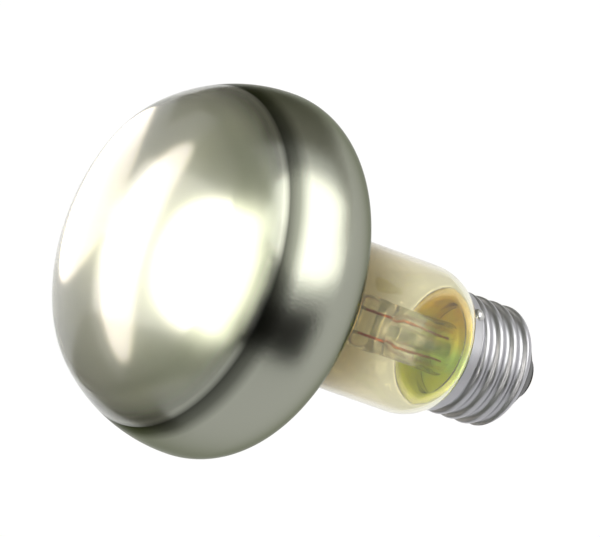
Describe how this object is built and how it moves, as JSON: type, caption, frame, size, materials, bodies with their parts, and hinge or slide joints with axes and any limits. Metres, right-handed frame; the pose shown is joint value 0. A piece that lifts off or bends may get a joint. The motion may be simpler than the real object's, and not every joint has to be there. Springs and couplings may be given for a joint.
{
  "type": "reflector basking lamp",
  "caption": "Blown glass reflector heat lamp with a mirrored head, lightly frosted window, clear neck and Edison screw cap.",
  "frame": {"origin": "flat tip of the solder on the centre contact, where the lampholder's centre spring touches", "axes": "+Z along the lamp's axis from the cap to the head; +X from the axis towards the side lead in the press; +Y completes the frame"},
  "size_m": [0.079, 0.079, 0.1104],
  "materials": {
    "envelope_glass": "clear neck, lightly frosted window, mirror coated inside round the head",
    "stem_glass": "clear",
    "tungsten": "drawn",
    "support_wire": "drawn",
    "nickel_wire": "drawn",
    "copper_wire": "drawn",
    "cement": "baked, matt",
    "shell_sheet": "rolled, bright",
    "black_glass": "moulded, glossy",
    "contact_brass": "stamped",
    "solder": "cast, satin"
  },
  "bodies": {
    "root": {"glass_envelope": "envelope_glass", "flare_stem": "stem_glass", "exhaust_tube": "stem_glass", "button_rod": "stem_glass", "filament": "tungsten", "support_wire_1": "support_wire", "support_wire_2": "support_wire", "support_wire_3": "support_wire", "support_wire_4": "support_wire", "inner_lead_side": "nickel_wire", "inner_lead_centre": "nickel_wire", "dumet_side": "copper_wire", "dumet_centre": "copper_wire", "outer_lead_side": "copper_wire", "outer_lead_centre": "copper_wire", "basing_cement": "cement", "screw_shell": "shell_sheet", "insulator": "black_glass", "centre_contact": "contact_brass", "centre_solder": "solder", "side_solder": "solder"}
  },
  "joints": []
}
